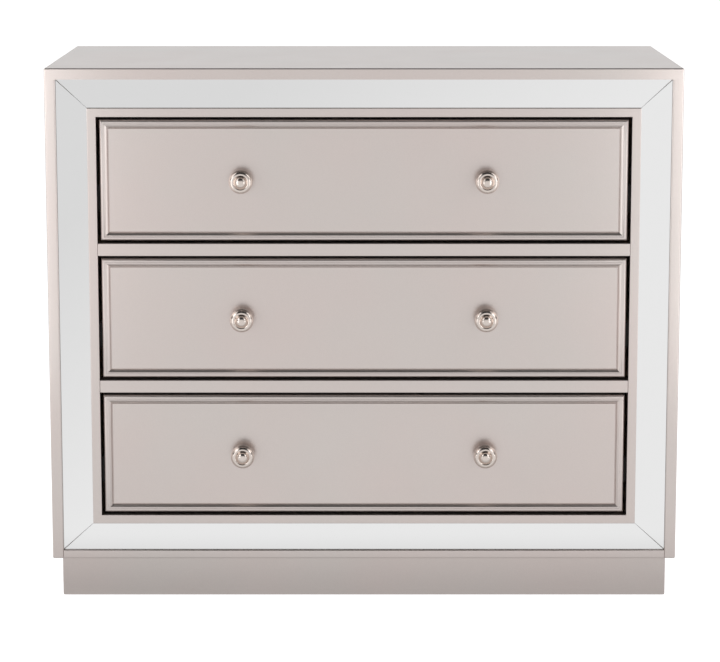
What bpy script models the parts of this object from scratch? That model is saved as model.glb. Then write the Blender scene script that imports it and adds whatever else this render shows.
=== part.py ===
"""Mirrored chest of three drawers, built board by board.

The chest stands on the floor at z = 0 and faces -Y. +X is the viewer's right.
The origin is under the middle of the whole chest, knobs included.
All sizes are in metres.
"""

import math

import bmesh
import bpy

# Carcase
WIDTH = 0.850
DEPTH = 0.400
HEIGHT = 0.725
BOARD = 0.015
BOTTOM_BOARD = 0.012
BACK_BOARD = 0.005
BACK_REBATE = 0.008
ARRIS = 0.0015

# Plinth
PLINTH_HEIGHT = 0.055
PLINTH_SETBACK = 0.012
PLINTH_BOARD = 0.015

# Mirrored front frame
MIRROR_SIDE = 0.041
MIRROR_TOP = 0.038
MIRROR_BOTTOM = 0.037
GLASS = 0.004
MIRROR_RECESS = 0.0035
MIRROR_EDGE_GAP = 0.0005
MITRE_GAP_OUTER = 0.0012
MITRE_GAP_INNER = 0.0004
LIP = 0.012
LIP_ROUND = 0.001
FRAME_DEPTH = 0.022
DIVIDER = 0.017

# Drawer fronts
FRONT_THICKNESS = 0.018
FRONT_RECESS = 0.001
FRONT_GAP_SIDE = 0.004
FRONT_GAP_HEIGHT = 0.0035
EDGE_ROUND = 0.0036
VALLEY_WIDTH = 0.0018
VALLEY_DEPTH = 0.0006
BEAD_WIDTH = 0.0028
QUIRK_WIDTH = 0.0036
QUIRK_DEPTH = 0.0016
PANEL_DROP = 0.0025

# Drawer boxes
DRAWER_NAMES = ("lower", "middle", "upper")
BOX_SIDE = 0.012
BOX_HEIGHT = 0.125
BOX_LENGTH = 0.355
BOX_LIFT = 0.014
DRAWER_BOTTOM = 0.005
BOTTOM_RISE = 0.010
GROOVE = 0.006

# Drawer runners
RUNNER_LENGTH = 0.350
RUNNER_SPACE = 0.013
RUNNER_HEIGHT = 0.035
RUNNER_SHEET = 0.0012
RUNNER_CURL = 0.0030
RUNNER_FLANGE = 0.0105
RUNNER_RISE = 0.045
RUNNER_PANEL = 0.015
RUNNING_GAP = 0.0004

# Knobs and their screws
KNOB_SPACING = 0.328
KNOB_RADIUS = 0.016
KNOB_PROJECTION = 0.030
KNOB_FOOT_RADIUS = 0.0085
KNOB_FOOT = 0.0018
KNOB_NECK_RADIUS = 0.0055
KNOB_HEAD_BACK = 0.0080
KNOB_RIM = 0.0035
KNOB_BAND = 0.0055
KNOB_RING_RADIUS = 0.0098
KNOB_COVE = 0.0014
KNOB_BOSS_RADIUS = 0.0062
KNOB_BOSS = 0.0026
KNOB_BORE_DEPTH = 0.011
SCREW_RADIUS = 0.002
SCREW_LENGTH = 0.024
SCREW_HEAD_RADIUS = 0.004
SCREW_HEAD = 0.0024
BORE_CLEARANCE = 0.0003
SCREW_HOLE_CLEARANCE = 0.0005

# Gap between pieces that are glued, screwed or rested together
FIT = 0.0003

KNOB_SEGMENTS = 24
SCREW_SEGMENTS = 12
CUT_OVERRUN = 0.001

# Places worked out from the sizes
PANEL_PLANE = FRONT_RECESS + PANEL_DROP
KNOB_OVERHANG = KNOB_PROJECTION + FIT - PANEL_PLANE
FRONT_Y = (KNOB_OVERHANG - DEPTH) / 2
BACK_Y = FRONT_Y + DEPTH
HALF_WIDTH = WIDTH / 2
INSIDE_X = HALF_WIDTH - BOARD
CASE_TOP = HEIGHT - BOARD
CASE_FLOOR = PLINTH_HEIGHT + BOTTOM_BOARD
OPENING_X = INSIDE_X - MIRROR_SIDE - LIP
OPENING_TOP = CASE_TOP - MIRROR_TOP - LIP
OPENING_BOTTOM = CASE_FLOOR + MIRROR_BOTTOM + LIP
DRAWER_COUNT = len(DRAWER_NAMES)
DRAWER_OPENING = (OPENING_TOP - OPENING_BOTTOM - (DRAWER_COUNT - 1) * DIVIDER) / DRAWER_COUNT
DRAWER_PITCH = DRAWER_OPENING + DIVIDER
FRAME_BACK_Y = FRONT_Y + FRAME_DEPTH
BACK_PANEL_Y = BACK_Y - BACK_BOARD


def clear_scene():
    for obj in list(bpy.data.objects):
        bpy.data.objects.remove(obj, do_unlink=True)


def make_material(name, colour, roughness, metallic):
    material = bpy.data.materials.new(name)
    material.use_nodes = True
    shader = material.node_tree.nodes["Principled BSDF"]
    shader.inputs["Base Color"].default_value = (*colour, 1.0)
    shader.inputs["Roughness"].default_value = roughness
    shader.inputs["Metallic"].default_value = metallic
    material.diffuse_color = (*colour, 1.0)
    return material


def make_materials():
    return {
        "champagne": make_material("champagne_lacquer", (0.62, 0.54, 0.50), 0.35, 0.6),
        "mirror": make_material("mirror_glass", (0.86, 0.87, 0.87), 0.03, 1.0),
        "nickel": make_material("polished_nickel", (0.80, 0.76, 0.72), 0.10, 1.0),
        "steel": make_material("zinc_plated_steel", (0.60, 0.61, 0.62), 0.35, 1.0),
        "box_wood": make_material("drawer_box_wood", (0.60, 0.46, 0.31), 0.55, 0.0),
        "back_board": make_material("back_hardboard", (0.33, 0.24, 0.17), 0.75, 0.0),
    }


def place(name, mesh, material, parent=None, location=(0.0, 0.0, 0.0)):
    """Links one named sub-part, shaded smooth apart from its sharp edges."""
    if not mesh.materials:
        mesh.materials.append(material)
    mesh.shade_smooth()
    mesh.set_sharp_from_angle(angle=math.radians(30))
    obj = bpy.data.objects.new(name, mesh)
    obj.location = location
    obj.parent = parent
    bpy.context.scene.collection.objects.link(obj)
    return obj


def mesh_from(name, bm):
    bmesh.ops.recalc_face_normals(bm, faces=bm.faces)
    mesh = bpy.data.meshes.new(name)
    bm.to_mesh(mesh)
    bm.free()
    return mesh


def make_empty(name, location):
    empty = bpy.data.objects.new(name, None)
    empty.location = location
    bpy.context.scene.collection.objects.link(empty)
    return empty


def middle(span):
    return (span[0] + span[1]) / 2


def mirrored(span, side):
    """A span on the +X side, or its mirror image where side is -1."""
    return span if side > 0 else (-span[1], -span[0])


def block_mesh(name, size):
    bm = bmesh.new()
    bmesh.ops.create_cube(bm, size=1.0)
    bmesh.ops.scale(bm, vec=size, verts=bm.verts)
    return mesh_from(name, bm)


def board(name, spans, material, parent=None, arris=0.0):
    """A rectangular board from its X, Y and Z spans, with its arrises eased."""
    size = [high - low for low, high in spans]
    centre = [middle(span) for span in spans]
    obj = place(name, block_mesh(name, size), material, parent, centre)
    if arris:
        ease_arrises(obj, min(arris, min(size) / 3))
    return obj


def ease_arrises(obj, width):
    bevel = obj.modifiers.new("arris", "BEVEL")
    bevel.width = width
    bevel.segments = 2
    bevel.limit_method = "ANGLE"


def prism_mesh(name, outline, to_point, low, high):
    """Extrudes an outline; to_point(a, b, along) gives the place of an outline point."""
    bm = bmesh.new()
    face = bm.faces.new([bm.verts.new(to_point(a, b, low)) for a, b in outline])
    made = bmesh.ops.extrude_face_region(bm, geom=[face])["geom"]
    moved = [item for item in made if isinstance(item, bmesh.types.BMVert)]
    start = to_point(0.0, 0.0, low)
    end = to_point(0.0, 0.0, high)
    bmesh.ops.translate(bm, verts=moved, vec=[e - s for s, e in zip(start, end)])
    return mesh_from(name, bm)


def along_y(x, z, y):
    return (x, y, z)


def along_z(x, y, z):
    return (x, y, z)


def turned_mesh(name, profile, segments):
    """Turns (radius, distance) points about Y. The distance runs towards -Y."""
    bm = bmesh.new()
    verts = [bm.verts.new((radius, -distance, 0.0)) for radius, distance in profile]
    edges = [bm.edges.new(pair) for pair in zip(verts, verts[1:])]
    bmesh.ops.spin(
        bm,
        geom=verts + edges,
        cent=(0.0, 0.0, 0.0),
        axis=(0.0, 1.0, 0.0),
        angle=math.tau,
        steps=segments,
        use_merge=True,
    )
    bmesh.ops.remove_doubles(bm, verts=bm.verts, dist=1e-6)
    return mesh_from(name, bm)


def ellipse(centre, radii, start, end, steps):
    """Points along part of an ellipse, with its angles in degrees."""
    turns = [math.radians(start + (end - start) * i / steps) for i in range(steps + 1)]
    return [
        (centre[0] + radii[0] * math.cos(turn), centre[1] + radii[1] * math.sin(turn))
        for turn in turns
    ]


def arc(centre, radius, start, end, steps):
    return ellipse(centre, (radius, radius), start, end, steps)


def combine(obj, other, operation):
    """Cuts or joins one shape with a helper that the finished chest doesn't show."""
    other.hide_render = True
    other.display_type = "WIRE"
    modifier = obj.modifiers.new(operation.lower(), "BOOLEAN")
    modifier.operation = operation
    modifier.object = other
    modifier.solver = "EXACT"


def build_case(materials):
    """Top, sides, floor and back."""
    paint = materials["champagne"]
    depth_span = (FRONT_Y, BACK_Y)
    board(
        "top_panel",
        [(-HALF_WIDTH, HALF_WIDTH), depth_span, (CASE_TOP, HEIGHT)],
        paint,
        arris=ARRIS,
    )
    for word, side in (("left", -1), ("right", 1)):
        build_side_panel(f"side_panel_{word}", side, paint)
    floor_x = INSIDE_X - FIT
    board(
        "bottom_panel",
        [(-floor_x, floor_x), (FRONT_Y, BACK_PANEL_Y - FIT), (PLINTH_HEIGHT, CASE_FLOOR)],
        paint,
        arris=ARRIS,
    )
    back_x = INSIDE_X + BACK_REBATE - FIT
    board(
        "back_panel",
        [(-back_x, back_x), (BACK_PANEL_Y, BACK_Y), (PLINTH_HEIGHT, CASE_TOP - FIT)],
        materials["back_board"],
    )


def build_side_panel(name, side, material):
    """A side board with a rebate down its back edge for the back panel."""
    height_span = (PLINTH_HEIGHT, CASE_TOP - FIT)
    panel = board(
        name,
        [mirrored((INSIDE_X, HALF_WIDTH), side), (FRONT_Y, BACK_Y), height_span],
        material,
        arris=ARRIS,
    )
    rebate = board(
        f"{name}_rebate",
        [
            mirrored((INSIDE_X - CUT_OVERRUN, INSIDE_X + BACK_REBATE), side),
            (BACK_PANEL_Y - FIT, BACK_Y + CUT_OVERRUN),
            (height_span[0] - CUT_OVERRUN, height_span[1] + CUT_OVERRUN),
        ],
        material,
    )
    combine(panel, rebate, "DIFFERENCE")


def build_plinth(materials):
    """Four boards on edge, set back under the case."""
    paint = materials["champagne"]
    outer_x = HALF_WIDTH - PLINTH_SETBACK
    inner_x = outer_x - PLINTH_BOARD
    front_y = FRONT_Y + PLINTH_SETBACK
    rear_y = BACK_Y - PLINTH_SETBACK
    height_span = (0.0, PLINTH_HEIGHT - FIT)
    board(
        "plinth_front",
        [(-outer_x, outer_x), (front_y, front_y + PLINTH_BOARD), height_span],
        paint,
        arris=ARRIS,
    )
    for word, side in (("left", -1), ("right", 1)):
        board(
            f"plinth_{word}",
            [mirrored((inner_x, outer_x), side), (front_y + PLINTH_BOARD + FIT, rear_y), height_span],
            paint,
            arris=ARRIS,
        )
    board(
        "plinth_back",
        [(FIT - inner_x, inner_x - FIT), (rear_y - PLINTH_BOARD, rear_y), height_span],
        paint,
        arris=ARRIS,
    )


def mitre_reach(inset, own_mirror, other_mirror):
    """How far a mitre runs along a frame member at an inset from its outer edge.

    Under the mirror it joins the strips' corners, and in the lip it is at 45 degrees.
    """
    if inset <= own_mirror:
        return inset * other_mirror / own_mirror
    return other_mirror + inset - own_mirror


def frame_section(mirror):
    """A frame member's section as (inset, depth): under the mirror, then in the lip."""
    seat = MIRROR_RECESS + GLASS + FIT
    end = mirror + LIP
    lip = arc((mirror + LIP_ROUND, LIP_ROUND), LIP_ROUND, 180, 270, 2)
    lip += arc((end - LIP_ROUND, LIP_ROUND), LIP_ROUND, 270, 360, 2)
    seat_part = [(0.0, FRAME_DEPTH), (0.0, seat), (mirror, seat)]
    return seat_part, lip + [(end, FRAME_DEPTH)], (mirror, FRAME_DEPTH)


def frame_member(name, mirror, low_mirror, high_mirror, low, high, to_point, material):
    """One mitred board of the front frame, rebated for its mirror strip.

    to_point(inset, depth, along) gives a point's place, and along runs from low to high.
    """
    seat_part, lip_part, heel = frame_section(mirror)
    ring = seat_part + lip_part + [heel]
    mitre_fit = FIT / math.sqrt(2)
    bm = bmesh.new()
    ends = []
    for bound, other, sign in ((low, low_mirror, 1), (high, high_mirror, -1)):
        verts = [
            bm.verts.new(
                to_point(inset, depth, bound + sign * (mitre_reach(inset, mirror, other) + mitre_fit))
            )
            for inset, depth in ring
        ]
        split = len(seat_part)
        bm.faces.new([*verts[:split], verts[-1]])
        bm.faces.new([verts[-1], *verts[split - 1 : -1]])
        ends.append(verts)
    for i in range(len(ring)):
        j = (i + 1) % len(ring)
        bm.faces.new([ends[0][i], ends[0][j], ends[1][j], ends[1][i]])
    return place(name, mesh_from(name, bm), material)


def build_front_frame(materials):
    """Mitred stiles and rails that carry the mirror, and the two rails between drawers."""
    paint = materials["champagne"]
    outer_x = INSIDE_X - FIT
    outer_top = CASE_TOP - FIT
    outer_bottom = CASE_FLOOR + FIT
    for word, side in (("left", -1), ("right", 1)):
        frame_member(
            f"frame_stile_{word}",
            MIRROR_SIDE - FIT,
            MIRROR_BOTTOM - FIT,
            MIRROR_TOP - FIT,
            outer_bottom,
            outer_top,
            lambda inset, depth, along, side=side: (side * (outer_x - inset), FRONT_Y + depth, along),
            paint,
        )
    for word, mirror, edge, inward in (
        ("top", MIRROR_TOP, outer_top, -1),
        ("bottom", MIRROR_BOTTOM, outer_bottom, 1),
    ):
        frame_member(
            f"frame_rail_{word}",
            mirror - FIT,
            MIRROR_SIDE - FIT,
            MIRROR_SIDE - FIT,
            -outer_x,
            outer_x,
            lambda inset, depth, along, edge=edge, inward=inward: (
                along,
                FRONT_Y + depth,
                edge + inward * inset,
            ),
            paint,
        )
    rail_x = OPENING_X - FIT
    for index, word in enumerate(("lower", "upper")):
        rail_bottom = OPENING_BOTTOM + (index + 1) * DRAWER_PITCH - DIVIDER
        board(
            f"divider_rail_{word}",
            [(-rail_x, rail_x), (FRONT_Y, FRAME_BACK_Y), (rail_bottom, rail_bottom + DIVIDER)],
            paint,
            arris=LIP_ROUND,
        )


def build_mirror_strips(materials):
    """Four glass strips with mitred corners whose joints open a little outwards."""
    outer_x = INSIDE_X - MIRROR_EDGE_GAP
    inner_x = INSIDE_X - MIRROR_SIDE + MIRROR_EDGE_GAP
    outer_gap = MITRE_GAP_OUTER / math.sqrt(2)
    inner_gap = MITRE_GAP_INNER / math.sqrt(2)
    outer_top = CASE_TOP - MIRROR_EDGE_GAP
    inner_top = CASE_TOP - MIRROR_TOP + MIRROR_EDGE_GAP
    outer_bottom = CASE_FLOOR + MIRROR_EDGE_GAP
    inner_bottom = CASE_FLOOR + MIRROR_BOTTOM - MIRROR_EDGE_GAP
    outlines = {}
    for word, outer_z, inner_z in (
        ("top", outer_top, inner_top),
        ("bottom", outer_bottom, inner_bottom),
    ):
        outlines[word] = [
            (outer_gap - outer_x, outer_z),
            (outer_x - outer_gap, outer_z),
            (inner_x - inner_gap, inner_z),
            (inner_gap - inner_x, inner_z),
        ]
    for word, side in (("left", -1), ("right", 1)):
        outlines[word] = [
            (side * outer_x, outer_bottom + outer_gap),
            (side * outer_x, outer_top - outer_gap),
            (side * inner_x, inner_top - inner_gap),
            (side * inner_x, inner_bottom + inner_gap),
        ]
    face_y = FRONT_Y + MIRROR_RECESS
    for word, outline in outlines.items():
        name = f"mirror_strip_{word}"
        place(name, prism_mesh(name, outline, along_y, face_y, face_y + GLASS), materials["mirror"])


def build_runner_panels(materials):
    """Upright boards behind the stiles that carry the cabinet halves of the runners."""
    for word, side in (("left", -1), ("right", 1)):
        board(
            f"runner_panel_{word}",
            [
                mirrored((OPENING_X, OPENING_X + RUNNER_PANEL), side),
                (FRAME_BACK_Y + FIT, BACK_PANEL_Y - FIT),
                (CASE_FLOOR + FIT, CASE_TOP - FIT),
            ],
            materials["box_wood"],
        )


def cabinet_runner_outline():
    """Channel section as (distance from the runner panel, height), open to the drawer."""
    half = RUNNER_HEIGHT / 2
    web = FIT + RUNNER_SHEET
    mouth = FIT + RUNNER_FLANGE
    upper = [
        (FIT, half),
        (mouth, half),
        (mouth, half - RUNNER_CURL),
        (mouth - RUNNER_SHEET, half - RUNNER_CURL),
        (mouth - RUNNER_SHEET, half - RUNNER_SHEET),
        (web, half - RUNNER_SHEET),
    ]
    return upper + [(a, -b) for a, b in reversed(upper)]


def drawer_runner_outline():
    """Section of the drawer's half, whose flanges run inside the cabinet channel."""
    race = RUNNER_HEIGHT / 2 - RUNNER_SHEET - RUNNING_GAP
    neck = RUNNER_HEIGHT / 2 - RUNNER_CURL - RUNNING_GAP
    web = RUNNER_SPACE - FIT
    step = FIT + RUNNER_FLANGE - RUNNER_SHEET - RUNNING_GAP
    toe = FIT + RUNNER_SHEET * 2
    upper = [
        (web, neck),
        (step, neck),
        (step, race),
        (toe, race),
        (toe, race - RUNNER_SHEET),
        (step - RUNNER_SHEET, race - RUNNER_SHEET),
        (step - RUNNER_SHEET, neck - RUNNER_SHEET),
        (web - RUNNER_SHEET, neck - RUNNER_SHEET),
    ]
    return upper + [(a, -b) for a, b in reversed(upper)]


def runner_mesh(name, outline, side, length):
    """A runner half whose origin is on the runner panel's face, at its front end."""
    flipped = [(-side * a, b) for a, b in outline]
    return prism_mesh(name, flipped, along_y, 0.0, length)


def build_cabinet_runners(materials):
    """Six channels on the runner panels, each with a stop plate across its back end."""
    half = RUNNER_HEIGHT / 2
    for index, drawer in enumerate(DRAWER_NAMES):
        height = drawer_floor(index) + RUNNER_RISE
        for word, side in (("left", -1), ("right", 1)):
            name = f"cabinet_runner_{drawer}_{word}"
            length = RUNNER_LENGTH + RUNNING_GAP + RUNNER_SHEET
            mesh = runner_mesh(name, cabinet_runner_outline(), side, length)
            origin = (side * OPENING_X, FRAME_BACK_Y + FIT, height)
            runner = place(name, mesh, materials["steel"], None, origin)
            stop = board(
                f"{name}_stop",
                [
                    mirrored((-FIT - RUNNER_FLANGE + RUNNER_SHEET / 2, -FIT - RUNNER_SHEET / 2), side),
                    (RUNNER_LENGTH + RUNNING_GAP, length),
                    (RUNNER_SHEET / 2 - half, half - RUNNER_SHEET / 2),
                ],
                materials["steel"],
                runner,
            )
            combine(runner, stop, "UNION")


def drawer_floor(index):
    """Height of the lower edge of a drawer's box above the floor."""
    return OPENING_BOTTOM + index * DRAWER_PITCH + BOX_LIFT


def front_profile():
    """The drawer front's edge moulding as (inset, depth behind the foremost plane).

    From outside in: a rounded edge, a shallow valley, a bead, and the quirk round the field.
    """
    bead_start = EDGE_ROUND + VALLEY_WIDTH
    quirk_start = bead_start + BEAD_WIDTH
    edge = arc((EDGE_ROUND, EDGE_ROUND), EDGE_ROUND, 180, 270, 5)
    bead_centre = (bead_start + BEAD_WIDTH / 2, VALLEY_DEPTH)
    bead = ellipse(bead_centre, (BEAD_WIDTH / 2, VALLEY_DEPTH), 180, 360, 6)
    quirk_steps = 6
    quirk = [
        (
            quirk_start + QUIRK_WIDTH * (1 - math.cos(math.pi * step / quirk_steps)) / 2,
            VALLEY_DEPTH
            + (PANEL_DROP - VALLEY_DEPTH) * step / quirk_steps
            + QUIRK_DEPTH * math.sin(math.pi * step / quirk_steps),
        )
        for step in range(1, quirk_steps + 1)
    ]
    return edge + bead + quirk


def front_mesh(name, half_width, half_height):
    """A moulded drawer front. Its origin is at its middle, on its foremost plane."""
    bm = bmesh.new()
    loops = []
    for inset, depth in [(0.0, FRONT_THICKNESS), *front_profile()]:
        x = half_width - inset
        z = half_height - inset
        corners = ((-x, -z), (x, -z), (x, z), (-x, z))
        loops.append([bm.verts.new((cx, depth, cz)) for cx, cz in corners])
    bm.faces.new(loops[0])
    bm.faces.new(loops[-1])
    for outer, inner in zip(loops, loops[1:]):
        for i in range(4):
            j = (i + 1) % 4
            bm.faces.new([outer[i], outer[j], inner[j], inner[i]])
    return mesh_from(name, bm)


def knob_profile():
    """A turned knob as (radius, distance from the field it stands on).

    It runs from the screw's bore over the foot, neck and head to the boss in the middle.
    """
    bore = SCREW_RADIUS + BORE_CLEARANCE
    crown = KNOB_PROJECTION - KNOB_BOSS
    rim = crown - KNOB_BAND
    head = (KNOB_NECK_RADIUS, KNOB_HEAD_BACK)
    points = [(0.0, KNOB_BORE_DEPTH), (bore, KNOB_BORE_DEPTH), (bore, 0.0)]
    points += [(KNOB_FOOT_RADIUS, 0.0), (KNOB_FOOT_RADIUS, KNOB_FOOT * 0.6)]
    points += [(KNOB_FOOT_RADIUS * 0.85, KNOB_FOOT), (KNOB_NECK_RADIUS, KNOB_FOOT * 1.8), head]
    flare = (KNOB_RADIUS - KNOB_RIM / 2 - head[0], rim - KNOB_RIM - head[1])
    points += ellipse((head[0] + flare[0], head[1]), (flare[0], flare[1]), 165, 100, 2)
    points += ellipse((KNOB_RADIUS - KNOB_RIM / 2, rim), (KNOB_RIM / 2, KNOB_RIM), -60, -20, 1)
    band = KNOB_RADIUS - KNOB_RING_RADIUS
    points += ellipse((KNOB_RING_RADIUS, rim), (band, KNOB_BAND), 0, 85, 5)
    cove_width = KNOB_RING_RADIUS - KNOB_BOSS_RADIUS
    cove_centre = (KNOB_BOSS_RADIUS + cove_width / 2, crown)
    points += ellipse(cove_centre, (cove_width * 0.45, KNOB_COVE), 0, -180, 4)
    points += ellipse((0.0, crown), (KNOB_BOSS_RADIUS, KNOB_BOSS), 10, 65, 3)
    return points + [(0.0, KNOB_PROJECTION)]


def screw_profile():
    """A pan-head screw as (radius, distance). Its head's underside is at distance 0."""
    return [
        (0.0, -SCREW_HEAD),
        (SCREW_HEAD_RADIUS * 0.6, -SCREW_HEAD),
        (SCREW_HEAD_RADIUS, -SCREW_HEAD * 0.5),
        (SCREW_HEAD_RADIUS, 0.0),
        (SCREW_RADIUS, 0.0),
        (SCREW_RADIUS, SCREW_LENGTH),
        (0.0, SCREW_LENGTH),
    ]


def build_drawer_front(drawer, root, half_width, half_height, floor_z, materials):
    """The moulded front, grooved for the drawer's bottom and drilled for the knob screws."""
    name = f"drawer_front_{drawer}"
    mesh = front_mesh(name, half_width, half_height)
    front = place(name, mesh, materials["champagne"], root)
    groove_x = OPENING_X - RUNNER_SPACE - BOX_SIDE + GROOVE
    groove_z = floor_z + BOTTOM_RISE - FIT
    groove = board(
        f"{name}_groove",
        [
            (-groove_x, groove_x),
            (FRONT_THICKNESS - GROOVE, FRONT_THICKNESS + CUT_OVERRUN),
            (groove_z, groove_z + DRAWER_BOTTOM + 2 * FIT),
        ],
        materials["champagne"],
        root,
    )
    combine(front, groove, "DIFFERENCE")
    radius = SCREW_RADIUS + SCREW_HOLE_CLEARANCE
    drill = [(0.0, CUT_OVERRUN), (radius, CUT_OVERRUN)]
    drill += [(radius, -FRONT_THICKNESS - CUT_OVERRUN), (0.0, -FRONT_THICKNESS - CUT_OVERRUN)]
    for word, side in (("left", -1), ("right", 1)):
        hole = place(
            f"{name}_hole_{word}",
            turned_mesh("screw_hole", drill, SCREW_SEGMENTS),
            materials["champagne"],
            root,
            (side * KNOB_SPACING / 2, 0.0, 0.0),
        )
        combine(front, hole, "DIFFERENCE")


def build_drawer_box(drawer, root, floor_z, materials):
    """Two grooved sides, a back that sits on the bottom, and the bottom in its grooves."""
    wood = materials["box_wood"]
    outer_x = OPENING_X - RUNNER_SPACE
    inner_x = outer_x - BOX_SIDE
    top_z = floor_z + BOX_HEIGHT
    bottom_z = floor_z + BOTTOM_RISE
    bottom_top = bottom_z + DRAWER_BOTTOM
    start_y = FRONT_THICKNESS + FIT
    end_y = start_y + BOX_LENGTH
    side_outline = [
        (outer_x, floor_z),
        (outer_x, top_z),
        (inner_x, top_z),
        (inner_x, bottom_top + FIT),
        (inner_x + GROOVE, bottom_top + FIT),
        (inner_x + GROOVE, bottom_z - FIT),
        (inner_x, bottom_z - FIT),
        (inner_x, floor_z),
    ]
    for word, side in (("left", -1), ("right", 1)):
        name = f"drawer_side_{drawer}_{word}"
        outline = [(side * x, z) for x, z in side_outline]
        place(name, prism_mesh(name, outline, along_y, start_y, end_y), wood, root)
    board(
        f"drawer_back_{drawer}",
        [
            (FIT - inner_x, inner_x - FIT),
            (end_y - BOX_SIDE, end_y),
            (bottom_top + FIT, top_z),
        ],
        wood,
        root,
    )
    panel_x = inner_x + GROOVE - FIT
    board(
        f"drawer_bottom_{drawer}",
        [
            (-panel_x, panel_x),
            (FRONT_THICKNESS - GROOVE + FIT, end_y),
            (bottom_z, bottom_top),
        ],
        wood,
        root,
    )


def build_drawer(index, drawer, shared, materials):
    """One drawer on its own empty, which slides along Y."""
    opening_middle = OPENING_BOTTOM + index * DRAWER_PITCH + DRAWER_OPENING / 2
    root = make_empty(f"drawer_{drawer}_slide", (0.0, FRONT_Y + FRONT_RECESS, opening_middle))
    floor_z = drawer_floor(index) - opening_middle
    half_width = OPENING_X - FRONT_GAP_SIDE
    half_height = DRAWER_OPENING / 2 - FRONT_GAP_HEIGHT
    build_drawer_front(drawer, root, half_width, half_height, floor_z, materials)
    build_drawer_box(drawer, root, floor_z, materials)
    runner_y = FRAME_DEPTH - FRONT_RECESS + FIT
    for word, side in (("left", -1), ("right", 1)):
        knob_x = side * KNOB_SPACING / 2
        knob_at = (knob_x, PANEL_DROP - FIT, 0.0)
        place(f"knob_{drawer}_{word}", shared["knob"], materials["nickel"], root, knob_at)
        screw_at = (knob_x, FRONT_THICKNESS + FIT, 0.0)
        place(f"knob_screw_{drawer}_{word}", shared["screw"], materials["steel"], root, screw_at)
        name = f"drawer_runner_{drawer}_{word}"
        mesh = runner_mesh(name, drawer_runner_outline(), side, RUNNER_LENGTH)
        runner_at = (side * OPENING_X, runner_y, floor_z + RUNNER_RISE)
        place(name, mesh, materials["steel"], root, runner_at)


def main():
    clear_scene()
    materials = make_materials()
    build_case(materials)
    build_plinth(materials)
    build_front_frame(materials)
    build_mirror_strips(materials)
    build_runner_panels(materials)
    build_cabinet_runners(materials)
    shared = {
        "knob": turned_mesh("knob", knob_profile(), KNOB_SEGMENTS),
        "screw": turned_mesh("knob_screw", screw_profile(), SCREW_SEGMENTS),
    }
    for index, drawer in enumerate(DRAWER_NAMES):
        build_drawer(index, drawer, shared, materials)


main()
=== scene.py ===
"""Mirrored chest of three drawers: its boards, mirrors, drawers and knobs with their finishes.

The chest faces -Y and stands on z = 0, in metres. Every piece takes its place from the frame.
"""

import math
from functools import partial

import bmesh
import bpy
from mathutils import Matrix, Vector


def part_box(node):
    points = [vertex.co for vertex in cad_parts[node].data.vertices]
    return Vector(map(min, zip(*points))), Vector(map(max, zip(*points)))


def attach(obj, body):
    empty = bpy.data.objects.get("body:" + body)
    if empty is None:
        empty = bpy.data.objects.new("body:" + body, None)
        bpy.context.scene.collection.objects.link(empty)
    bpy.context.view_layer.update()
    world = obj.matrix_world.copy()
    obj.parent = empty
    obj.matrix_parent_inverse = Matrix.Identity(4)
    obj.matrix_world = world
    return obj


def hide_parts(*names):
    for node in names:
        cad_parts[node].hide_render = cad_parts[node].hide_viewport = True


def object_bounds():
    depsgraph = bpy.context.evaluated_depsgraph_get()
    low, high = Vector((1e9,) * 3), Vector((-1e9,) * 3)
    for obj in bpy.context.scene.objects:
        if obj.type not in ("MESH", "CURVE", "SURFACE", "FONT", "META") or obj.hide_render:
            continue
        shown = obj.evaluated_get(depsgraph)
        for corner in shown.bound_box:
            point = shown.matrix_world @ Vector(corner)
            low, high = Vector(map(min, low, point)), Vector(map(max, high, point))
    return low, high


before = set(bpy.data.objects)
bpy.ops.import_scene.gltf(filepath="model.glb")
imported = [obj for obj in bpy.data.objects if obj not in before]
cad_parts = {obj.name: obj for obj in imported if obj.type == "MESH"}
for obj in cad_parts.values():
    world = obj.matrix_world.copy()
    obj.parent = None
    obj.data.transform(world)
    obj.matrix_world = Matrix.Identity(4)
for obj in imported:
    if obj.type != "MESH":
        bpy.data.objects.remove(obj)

bl_info = {
    "name": "Mirrored chest of drawers",
    "version": (1, 0, 0),
    "blender": (4, 5, 0),
    "location": "View3D > Sidebar > Chest",
    "description": "Builds a lacquered chest of three drawers with a mirrored front frame",
    "category": "Object",
}

CAD_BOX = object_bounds()
IMAGE_WIDTH = 720
SENSOR_WIDTH = 36.0
CASE = "case"
DRAWERS = ("lower", "middle", "upper")
SIDES = (("left", -1), ("right", 1))
AXES = {"x": 0, "y": 1, "z": 2}
PLANE_TOLERANCE = 1e-5
SHARP_ANGLE = math.radians(32)
WHITE = (1.0, 1.0, 1.0, 1.0)
SURFACE_OUTPUTS = (("Colour", "Color"), ("Roughness", "Float"), ("Normal", "Vector"))
# The Mix node's sockets for colours share their names with those for numbers and vectors.
MIX_FIRST = 6
MIX_SECOND = 7
MIX_RESULT = 2


def number(name, description, default, **settings):
    return bpy.props.FloatProperty(name=name, description=description, default=default, **settings)


def length(name, description, default):
    return number(name, description, default, min=0.0, unit="LENGTH", precision=5)


def amount(name, description, default, high=2.0):
    return number(name, description, default, min=0.0, max=high, subtype="FACTOR")


def colour(name, description, default):
    return bpy.props.FloatVectorProperty(
        name=name, description=description, default=default, size=3, min=0.0, max=1.0, subtype="COLOR"
    )


def lamp_power(name, default):
    return number(name, "Power of each of the two lamps", default, min=0.0, unit="POWER")


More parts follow.
